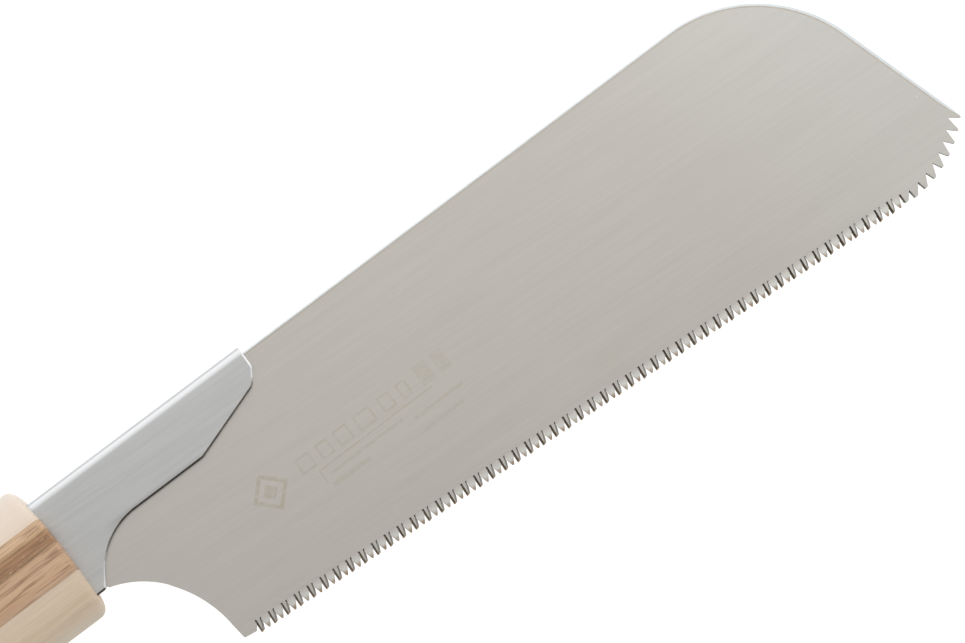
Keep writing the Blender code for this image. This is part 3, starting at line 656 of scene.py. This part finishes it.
def build_blade():
    bm = bmesh.new()
    zt = BLADE_T / 2
    groups = []            # kind, upper verts, lower verts
    for kind, up, lo, side in (fine_tooth_rows() + [("apex", [(177.86, -44.93), (178.17, -44.93)],
                                                       [(177.83, -44.95), (177.87, -44.97)], 0)]
                               + toe_tooth_rows()):
        dz = SET * side
        groups.append((kind, [bm.verts.new((x, y, zt + dz)) for x, y in up],
                       [bm.verts.new((x, y, -zt + dz)) for x, y in lo]))

    def skin(which):
        """One face for each tooth; returns the line the flat part ends on."""
        line = []
        n = len(groups)
        for i, g in enumerate(groups):
            if g[0] in ("tooth", "toe"):
                prev = groups[i - 1][which][-1] if i else None
                nxt = groups[i + 1][which][0] if i + 1 < n else None
                if prev is not None and nxt is not None:
                    bm.faces.new([prev] + g[which] + [nxt]).material_index = 0
                else:
                    line += g[which]
            else:
                line += g[which]
        return line

    line_u, line_l = skin(1), skin(2)

    # ground rim: outer point, chamfer's inner point and the painted shade line's inner point
    rim = rim_points()
    n = len(rim)
    cols_u, cols_l = [], []
    for i, (x, y, c) in enumerate(rim):
        if c <= 0.0:
            u, l = bm.verts.new((x, y, zt)), bm.verts.new((x, y, -zt))
            cols_u.append([u])
            cols_l.append([l])
            continue
        tx, ty = rim[i + 1][0] - rim[i - 1][0], rim[i + 1][1] - rim[i - 1][1]
        ln = math.hypot(tx, ty)
        tx, ty = tx / ln, ty / ln
        nx, ny = -ty, tx                     # inwards
        drop = min(0.24, c * 0.62)
        out_u = bm.verts.new((x, y, zt - drop))
        in_u = bm.verts.new((x + nx * c, y + ny * c, zt))
        shade_w = 0.24 if i == 1 else SHADE_LINE_W
        br_u = bm.verts.new((x + nx * (c + shade_w), y + ny * (c + shade_w), zt))
        out_l = bm.verts.new((x, y, -zt + 0.12))
        in_l = bm.verts.new((x + nx * 0.18, y + ny * 0.18, -zt))
        cols_u.append([out_u, in_u, br_u])
        cols_l.append([out_l, in_l])

    # flat faces
    bm.faces.new(line_u + [c[-1] for c in cols_u]).material_index = 0
    bm.faces.new(line_l + [c[-1] for c in cols_l]).material_index = 0

    def band(a, b, mats):
        """Strip between two neighbouring rim columns."""
        m = max(len(a), len(b))
        for k in range(m - 1):
            a0, a1 = a[min(k, len(a) - 1)], a[min(k + 1, len(a) - 1)]
            b0, b1 = b[min(k, len(b) - 1)], b[min(k + 1, len(b) - 1)]
            vs = []
            for v in (a0, b0, b1, a1):
                if v not in vs:
                    vs.append(v)
            if len(vs) >= 3:
                bm.faces.new(vs).material_index = mats[k]

    for i in range(n - 1):
        band(cols_u[i], cols_u[i + 1], (1, 2))
        band(cols_l[i], cols_l[i + 1], (1,))
        bm.faces.new((cols_u[i][0], cols_u[i + 1][0], cols_l[i + 1][0], cols_l[i][0])).material_index = 3
    # the last toe tooth meets the rim: close its little end
    last_u, last_l = groups[-1][1][-1], groups[-1][2][-1]
    fan = [last_u] + list(reversed(cols_u[0])) + cols_l[0] + [last_l]
    bm.faces.new(fan).material_index = 7
    first_u, first_l = groups[0][1][0], groups[0][2][0]
    bm.faces.new((cols_u[-1][0], first_u, first_l, cols_l[-1][0])).material_index = 3

    # walls between the upper and lower lines of the teeth
    flat = [(g[0], i, u) for i, g in enumerate(groups) for u in g[1]]
    flat_l = [v for g in groups for v in g[2]]
    for k in range(len(flat) - 1):
        (ka, ia, ua), (kb, ib, ub) = flat[k], flat[k + 1]
        f = bm.faces.new((ua, ub, flat_l[k + 1], flat_l[k]))
        if ia == ib and ka == "apex":
            # the slot's far end belongs to the flank that it finishes
            toe_side = ia % 4 == 2
            f.material_index = 5 if toe_side == (flat[k - 1][1] != ia) else 4
        elif ia == ib:
            f.material_index = 6 if ka == "tooth" else 7
        elif kb == "tooth":
            f.material_index = 4            # handle-side flank of a fine tooth
        elif ka == "tooth":
            f.material_index = 5            # toe-side flank
        elif kb == "toe" and ib == len(fine_tooth_rows()) + 1:
            f.material_index = 4            # the first coarse tooth's knife bevel
        else:
            f.material_index = 7
    mats = [FACE, RIM, SHADE_LINE_STEEL, WALL, SHADED_RAKE, BEVEL, CROWN, TOE_FLANK]
    ob = as_object("blade_ground", bm, mats, smooth=False)
    me = ob.data
    me.shade_smooth()
    me.set_sharp_from_angle(angle=math.radians(14))
    return ob


# --------------------------------------------------------------------- holder
def cheek_outline():
    pts = [(TANG_X, TANG_LOW_Y + 2.0), (TANG_X + 2.0, TANG_LOW_Y)]
    pts += fillet((-20.0, TANG_LOW_Y), (2.30, TANG_LOW_Y), (3.05, -10.05), 0.9, 8)
    pts += arc(16.48, -17.67, 15.32, 143.13, 90.0, 36)
    pts += fillet((16.5, LEVEL_Y), (33.10, LEVEL_Y), (48.80, 2.93), 2.2, 8)
    pts += fillet((33.34, -2.45), (49.62, 3.215), (51.73, 6.43), 2.4, 14)
    pts += [(50.20, 4.1), (50.46, 4.5)]
    pts += fillet((49.62, 3.215), (51.73, 6.43), (51.76, 9.0), 2.2, 8)
    pts += fillet((51.76, 8.5), (51.78, FOLD_TOP + 0.2), (40.0, FOLD_TOP + 0.2), 0.9, 10)
    pts += [(TANG_X, FOLD_TOP + 0.2)]
    return pts


def edge_tool():
    """Solid with the cheeks' outline, sloping in at both broad sides."""
    pts = [Vector(p) for p in cheek_outline()]
    n = len(pts)
    inward = []
    for i, p in enumerate(pts):
        a, b = (p - pts[i - 1]).normalized(), (pts[(i + 1) % n] - p).normalized()
        na, nb = Vector((-a.y, a.x)), Vector((-b.y, b.x))
        m = (na + nb).normalized()
        m = m / max(0.5, m.dot(na))
        if p.y > FOLD_TOP - 0.1 or p.x < TANG_X + 3.0:
            m = Vector((0.0, 0.0))
        inward.append(m)
    over = 0.08
    grow = 1 + over / CUT_D
    levels = [(-HOLDER_HALF - over, grow), (-HOLDER_HALF + CUT_D, 0.0),
              (HOLDER_HALF - CUT_D, 0.0), (HOLDER_HALF + over, grow)]

    def width(p):
        """The slope narrows towards the handle, along the lower sweep."""
        if p.x < 12.0:
            if p.y < -11.0:
                return CUT_W + 0.10
            return CUT_W - (CUT_W - 0.23) * min(1.0, max(0.0, (-4.6 - p.y) / 1.6))
        return CUT_W + 0.05 * (p.x < 34.0)

    bm = bmesh.new()
    loops = [[bm.verts.new((p.x + m.x * k * width(p), p.y + m.y * k * width(p), z))
              for p, m in zip(pts, inward)] for z, k in levels]
    bm.faces.new(loops[0])
    bm.faces.new(loops[-1])
    for a, b in zip(loops, loops[1:]):
        for i in range(n):
            j = (i + 1) % n
            bm.faces.new((a[i], a[j], b[j], b[i]))
    return tool(bm)


def build_holder():
    ro, ri = HOLDER_HALF, GAP / 2
    yc = FOLD_START
    rise = FOLD_TOP - FOLD_START
    low = TANG_LOW_Y - 1.0
    sec = [(low, ro)]
    sec += [(yc + rise * math.sin(math.radians(a)), ro * math.cos(math.radians(a)))
            for a in range(0, 181, 6)]
    sec += [(low, -ro), (low, -ri)]
    roof, ease = FOLD_ROOF, 0.10
    sec += [(roof - ease, -ri), (roof - ease * 0.3, -ri + ease * 0.3), (roof, -ri + ease),
            (roof, ri - ease), (roof - ease * 0.3, ri - ease * 0.3), (roof - ease, ri)]
    sec += [(low, ri)]
    bm = bmesh.new()
    a = [bm.verts.new((TANG_X - 1, y, z)) for y, z in sec]
    b = [bm.verts.new((54.0, y, z)) for y, z in sec]
    bm.faces.new(a)
    bm.faces.new(b)
    n = len(sec)
    for i in range(n):
        j = (i + 1) % n
        bm.faces.new((a[i], a[j], b[j], b[i]))
    ob = as_object("holder_folded_sheet", bm, [HOLDER], smooth=False)
    cut(ob, edge_tool(), "INTERSECT")
    holes = [(HOOK_X, HOOK_Y, HOOK_R + 0.01)]
    holes += [(x, TANG_PIN_Y, TANG_PIN_R + 0.01) for x in TANG_PIN_X]
    for x, y, r in holes:
        bm = bmesh.new()
        cylinder(bm, x, y, r, -4.0, 4.0)
        cut(ob, tool(bm))
    # painted light and shade on the cut edges: drawn bright where they face the toe, dark where they face down
    me = ob.data
    if len(me.materials) == 0:
        me.materials.append(HOLDER)
    while len(me.materials) < 5:
        me.materials.append((HOLDER, CUT, NOSE_CUT, HEEL_CUT, SHEARED)[len(me.materials)])
    for f in me.polygons:
        n = f.normal
        c = (f.center - ORIGIN) / MM
        side = math.hypot(n.x, n.y)
        roof = c.y > FOLD_START - 0.02 and abs(n.x) < 0.3
        if side > 0.3 and not roof:
            down = -n.y / side
            if abs(n.z) < 0.1:
                f.material_index = 4          # the sheared wall below the slope
            elif c.x > 40.0:
                f.material_index = 2 if c.y > 4.4 else 3 if c.y > 4.0 else 1
            else:
                f.material_index = (2 if down < 0.70 else 3 if down < 0.76 else 1) if n.x > 0.3 * side else 1
        else:
            f.material_index = 0
    me.shade_smooth()
    me.set_sharp_from_angle(angle=math.radians(24))
    return ob


# --------------------------------------------------------------------- handle
def half_height(x):
    t = -x / HANDLE_LEN
    waist = WAIST * math.sin(math.pi * min(1.0, t / 0.75)) ** 2 if t < 0.75 else 0.0
    q = max(0.0, (t - 0.45) / 0.55)
    return HANDLE_HALF_H - waist + BUTT_SWELL * q ** 2 * (3 - 2 * q)


def side_half(y, hh, inset, ease):
    b = HANDLE_HALF_T - ease
    ay = abs(y)
    if ay <= FLAT_HALF_H:
        return b
    reach = hh - inset - FLAT_HALF_H
    q = min(1.0, (ay - FLAT_HALF_H) / reach)
    return b * math.sqrt(max(0.0, 1.0 - q * q))


def stations():
    out = []
    for i in range(11):
        a = math.radians(90 * i / 10)
        away = 1 - math.sin(a)
        out.append((-FRONT_R * (1 - math.cos(a)), FRONT_R * away, FRONT_EASE * away))
    for i in range(1, 60):
        out.append((-FRONT_R - (HANDLE_LEN - FRONT_R - BUTT_R) * i / 60, 0.0, 0.0))
    for i in range(13):
        a = math.radians(90 * i / 12)
        away = BUTT_R * (1 - math.cos(a))
        out.append((-HANDLE_LEN + BUTT_R * (1 - math.sin(a)), away, away))
    return out


def front_shift(x, y):
    fade = max(0.0, 1.0 + x / 8.0)
    # fuller above the middle; below it the open blade has to pass
    bow = FRONT_BOW * (1.0 - min(1.0, abs(y) / 14.5) ** (4 if y > 0.0 else 2))
    return fade * (bow - FRONT_LEAN * max(0.0, (y + 2.0) / 10.0) ** 2)


def build_lamina(name, y0, y1, mat):
    bm = bmesh.new()
    loops = []
    steps = 22
    for x, inset, ease in stations():
        hh = half_height(x)
        lo = y0 if y0 is not None else -(hh - inset)
        hi = y1 if y1 is not None else hh - inset
        ys = []
        for i in range(steps + 1):
            t = i / steps
            if y1 is None:
                t = math.sin(t * math.pi / 2)
            elif y0 is None:
                t = 1 - math.cos(t * math.pi / 2)
            ys.append(lo + (hi - lo) * t)
        right = [(y, side_half(y, hh, inset, ease)) for y in ys]
        if y1 is None:
            right[-1] = (hi, 0.0)
        if y0 is None:
            right[0] = (lo, 0.0)
        left = [(y, -z) for y, z in reversed(right) if z > 1e-9]
        loops.append([bm.verts.new((x + front_shift(x, y), y, z)) for y, z in right + left])
    for ring in (loops[0], loops[-1]):
        m = len(ring)
        lo_i, hi_i = (1, m - 1) if y0 is None else (0, m - 1)
        if y0 is None:
            bm.faces.new((ring[0], ring[1], ring[m - 1]))
        while hi_i - lo_i > 1:
            if hi_i - lo_i == 2:
                bm.faces.new((ring[lo_i], ring[lo_i + 1], ring[hi_i]))
                break
            bm.faces.new((ring[lo_i], ring[lo_i + 1], ring[hi_i - 1], ring[hi_i]))
            lo_i += 1
            hi_i -= 1
    for a, b in zip(loops, loops[1:]):
        m = len(a)
        for i in range(m):
            j = (i + 1) % m
            bm.faces.new((a[i], a[j], b[j], b[i]))
    ob = as_object(name, bm, [mat], smooth=False)
    bm = bmesh.new()
    zc = HOLDER_HALF + SLOT_CLEAR
    prism(bm, [(TANG_X - 2.0, TANG_LOW_Y - SLOT_CLEAR), (3.0, TANG_LOW_Y - SLOT_CLEAR),
               (3.0, FOLD_TOP + SLOT_CLEAR), (TANG_X - 2.0, FOLD_TOP + SLOT_CLEAR)], -zc, zc)
    cut(ob, tool(bm))
    return ob


def shade(ob, angle=32):
    ob.data.shade_smooth()
    ob.data.set_sharp_from_angle(angle=math.radians(angle))


def build_handle():
    top = build_lamina("handle_strip_top", LAMINA_TOP_Y + WOOD_SEAM, None, WOOD_TOP)
    core = build_lamina("handle_strip_core", LAMINA_LOW_Y + WOOD_SEAM, LAMINA_TOP_Y - WOOD_SEAM, WOOD_CORE)
    low = build_lamina("handle_strip_bottom", None, LAMINA_LOW_Y - WOOD_SEAM, WOOD_LOW)
    for x in TANG_PIN_X:
        bm = bmesh.new()
        cylinder(bm, x, TANG_PIN_Y, TANG_PIN_R + 0.015, -20.0, 20.0)
        cut(core, tool(bm))
    for ob in (top, core, low):
        shade(ob)
    return top, core, low


# ----------------------------------------------------------------------- pins
def build_pin(name, x, y, r, half_len, dome, mat):
    """Turned pin with eased rims and slightly domed ends."""
    bm = bmesh.new()
    prof = [(half_len, 0.0)]
    for i in range(1, 6):
        t = i / 5
        prof.append((half_len - dome * t * t * 0.5, (r - 0.18) * t))
    for i in range(1, 5):
        a = math.radians(90 * i / 4)
        prof.append((half_len - dome * 0.5 - 0.18 * (1 - math.cos(a)), r - 0.18 + 0.18 * math.sin(a)))
    n = 40
    rings = []
    full = prof + [(-z, rr) for z, rr in reversed(prof)]
    for z, rr in full:
        if rr <= 1e-9:
            rings.append([bm.verts.new((x, y, z))])
        else:
            rings.append([bm.verts.new((x + rr * math.cos(2 * math.pi * i / n),
                                        y + rr * math.sin(2 * math.pi * i / n), z)) for i in range(n)])
    for a, b in zip(rings, rings[1:]):
        for i in range(n):
            j = (i + 1) % n
            if len(a) == 1:
                bm.faces.new((a[0], b[i], b[j]))
            elif len(b) == 1:
                bm.faces.new((a[i], b[0], a[j]))
            else:
                bm.faces.new((a[i], a[j], b[j], b[i]))
    return as_object(name, bm, [mat], smooth=True, angle=40)


# ---------------------------------------------------------------------- build
blade = build_blade()
holder = build_holder()
top, core, low = build_handle()
hook = build_pin("hook_pin_drawn", HOOK_X, HOOK_Y, HOOK_R, HOLDER_HALF, 0.04, PIN)
pin_a = build_pin("tang_pin_front_drawn", TANG_PIN_X[0], TANG_PIN_Y, TANG_PIN_R, HANDLE_HALF_T - 0.05, 0.16, PIN)
pin_b = build_pin("tang_pin_rear_drawn", TANG_PIN_X[1], TANG_PIN_Y, TANG_PIN_R, HANDLE_HALF_T - 0.05, 0.16, PIN)

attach(blade, "blade")
for piece in (holder, top, core, low, hook, pin_a, pin_b):
    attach(piece, "handle_assembly")
for piece, node, slot in ((blade, "blade", "blade_steel"), (holder, "blade_holder", "holder_steel"),
                          (top, "handle_lamina_top", "pale_wood_top"),
                          (core, "handle_lamina_core", "brown_wood_core"),
                          (low, "handle_lamina_bottom", "pale_wood_bottom"),
                          (hook, "hook_pin", "hook_pin_steel"),
                          (pin_a, "tang_pin_front", "tang_pin_front_steel"),
                          (pin_b, "tang_pin_rear", "tang_pin_rear_steel")):
    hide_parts(node)


# ---------------------------------------------------------------------- stage
def build_floor():
    bm = bmesh.new()
    s = 12.0
    vs = [bm.verts.new(c) for c in ((-s, -s, 0.0), (s, -s, 0.0), (s, s, 0.0), (-s, s, 0.0))]
    bm.faces.new(vs)
    me = bpy.data.meshes.new("floor")
    bm.to_mesh(me)
    bm.free()
    mat = bpy.data.materials.new("floor_white")
    mat.use_nodes = True
    b = mat.node_tree.nodes["Principled BSDF"]
    b.inputs["Base Color"].default_value = (0.45, 0.45, 0.45, 1.0)
    b.inputs["Roughness"].default_value = 0.9
    b.inputs["Specular IOR Level"].default_value = 0.1
    b.inputs["Emission Color"].default_value = (1.0, 1.0, 1.0, 1.0)
    b.inputs["Emission Strength"].default_value = 0.84
    me.materials.append(mat)
    ob = bpy.data.objects.new("floor", me)
    ob.location = (0.0, 0.0, -0.0002)
    bpy.context.scene.collection.objects.link(ob)
    return ob


build_floor()


def build_world():
    world = bpy.data.worlds.new("studio")
    bpy.context.scene.world = world
    world.use_nodes = True
    nt = world.node_tree
    nt.nodes.clear()
    out = nt.nodes.new("ShaderNodeOutputWorld")
    co = nt.nodes.new("ShaderNodeTexCoord")
    nrm = nt.nodes.new("ShaderNodeVectorMath")
    nrm.operation = "NORMALIZE"
    nt.links.new(co.outputs["Generated"], nrm.inputs[0])
    def sky(gradient, middle, least, most):
        """Background that grows brighter towards +X and +Y."""
        dot = nt.nodes.new("ShaderNodeVectorMath")
        dot.operation = "DOT_PRODUCT"
        dot.inputs[1].default_value = gradient
        nt.links.new(nrm.outputs[0], dot.inputs[0])
        add = nt.nodes.new("ShaderNodeMath")
        add.operation = "ADD"
        add.inputs[1].default_value = middle
        nt.links.new(dot.outputs["Value"], add.inputs[0])
        lim = nt.nodes.new("ShaderNodeClamp")
        lim.inputs["Min"].default_value = least
        lim.inputs["Max"].default_value = most
        nt.links.new(add.outputs[0], lim.inputs[0])
        back = nt.nodes.new("ShaderNodeBackground")
        back.inputs["Color"].default_value = (1.0, 1.0, 1.0, 1.0)
        nt.links.new(lim.outputs[0], back.inputs["Strength"])
        return back.outputs[0]

    def mirror(stops, rise, least, most):
        """Background following stops (n.x, brightness), brighter towards +Y."""
        sep = nt.nodes.new("ShaderNodeSeparateXYZ")
        nt.links.new(nrm.outputs[0], sep.inputs[0])
        span = nt.nodes.new("ShaderNodeMapRange")
        span.inputs["From Min"].default_value = -1.0
        span.inputs["From Max"].default_value = 1.0
        nt.links.new(sep.outputs[0], span.inputs["Value"])
        ramp = nt.nodes.new("ShaderNodeValToRGB")
        ramp.color_ramp.interpolation = "LINEAR"
        while len(ramp.color_ramp.elements) < len(stops):
            ramp.color_ramp.elements.new(0.5)
        for e, (x, v) in zip(ramp.color_ramp.elements, stops):
            e.position = (x + 1) / 2
            e.color = (v / 2, v / 2, v / 2, 1.0)
        nt.links.new(span.outputs["Result"], ramp.inputs[0])
        twice = nt.nodes.new("ShaderNodeMath")
        twice.operation = "MULTIPLY"
        twice.inputs[1].default_value = 2.0
        nt.links.new(ramp.outputs[0], twice.inputs[0])
        up = nt.nodes.new("ShaderNodeMath")
        up.operation = "MULTIPLY_ADD"
        up.inputs[1].default_value = rise
        nt.links.new(sep.outputs[1], up.inputs[0])
        nt.links.new(twice.outputs[0], up.inputs[2])
        lim = nt.nodes.new("ShaderNodeClamp")
        lim.inputs["Min"].default_value = least
        lim.inputs["Max"].default_value = most
        nt.links.new(up.outputs[0], lim.inputs[0])
        back = nt.nodes.new("ShaderNodeBackground")
        back.inputs["Color"].default_value = (1.0, 1.0, 1.0, 1.0)
        nt.links.new(lim.outputs[0], back.inputs["Strength"])
        return back.outputs[0]

    # what polished metal mirrors
    sheen = mirror([(-1.0, 0.08), (-0.3, 0.45), (-0.05, 0.82), (0.0, 0.86), (0.05, 0.875), (0.12, 0.925),
                    (0.18, 1.0), (0.24, 1.09), (0.35, 1.3), (0.6, 1.8), (1.0, 1.9)], 1.15, 0.08, 1.9)
    fill = sky((0.15, 0.22, 0.0), 0.92, 0.4, 1.4)       # what lights matt surfaces
    pale = nt.nodes.new("ShaderNodeBackground")
    pale.inputs["Color"].default_value = (0.97, 0.97, 0.97, 1.0)
    pale.inputs["Strength"].default_value = 1.0
    path = nt.nodes.new("ShaderNodeLightPath")
    both = nt.nodes.new("ShaderNodeMixShader")
    nt.links.new(path.outputs["Is Diffuse Ray"], both.inputs[0])
    nt.links.new(sheen, both.inputs[1])
    nt.links.new(fill, both.inputs[2])
    mix = nt.nodes.new("ShaderNodeMixShader")
    nt.links.new(path.outputs["Is Camera Ray"], mix.inputs[0])
    nt.links.new(both.outputs[0], mix.inputs[1])
    nt.links.new(pale.outputs[0], mix.inputs[2])
    nt.links.new(mix.outputs[0], out.inputs["Surface"])


build_world()


def area_light(name, location, target, size, power):
    data = bpy.data.lights.new(name, "AREA")
    data.shape = "SQUARE"
    data.size = size
    data.energy = power
    ob = bpy.data.objects.new(name, data)
    ob.location = location
    aim = Vector(target) - Vector(location)
    ob.rotation_mode = "QUATERNION"
    ob.rotation_quaternion = aim.to_track_quat("-Z", "Y")
    bpy.context.scene.collection.objects.link(ob)
    return ob


area_light("key_soft", (0.75, 0.85, 1.15), (0.05, 0.0, 0.0), 0.9, 1.2)

# --------------------------------------------------------------------- camera
TILT = math.radians(5.8)
ROLL = math.radians(37.10)
DISTANCE = 0.600
target = ORIGIN + Vector((94.116, -14.25, 0.0)) * MM
gaze = Vector((math.sin(TILT), 0.0, -math.cos(TILT)))
r0 = Vector((math.cos(TILT), 0.0, math.sin(TILT)))
u0 = Vector((0.0, 1.0, 0.0))
right = r0 * math.cos(ROLL) - u0 * math.sin(ROLL)
up = r0 * math.sin(ROLL) + u0 * math.cos(ROLL)
cam_data = bpy.data.cameras.new("camera")
cam_data.type = "PERSP"
cam_data.sensor_width = 36.0
cam_data.lens = 36.0 * 600.0 / (965 * 0.2013)
cam_data.clip_start = 0.05
cam_data.clip_end = 60.0
camera = bpy.data.objects.new("camera", cam_data)
basis = Matrix((right, up, -gaze)).transposed()
camera.matrix_world = Matrix.Translation(target - gaze * DISTANCE) @ basis.to_4x4()
bpy.context.scene.collection.objects.link(camera)
bpy.context.scene.camera = camera

bpy.context.scene.view_settings.view_transform = "Standard"
bpy.context.scene.view_settings.look = "None"
bpy.context.scene.view_settings.exposure = 0.0
bpy.context.scene.view_settings.gamma = 1.0

bpy.context.view_layer.update()
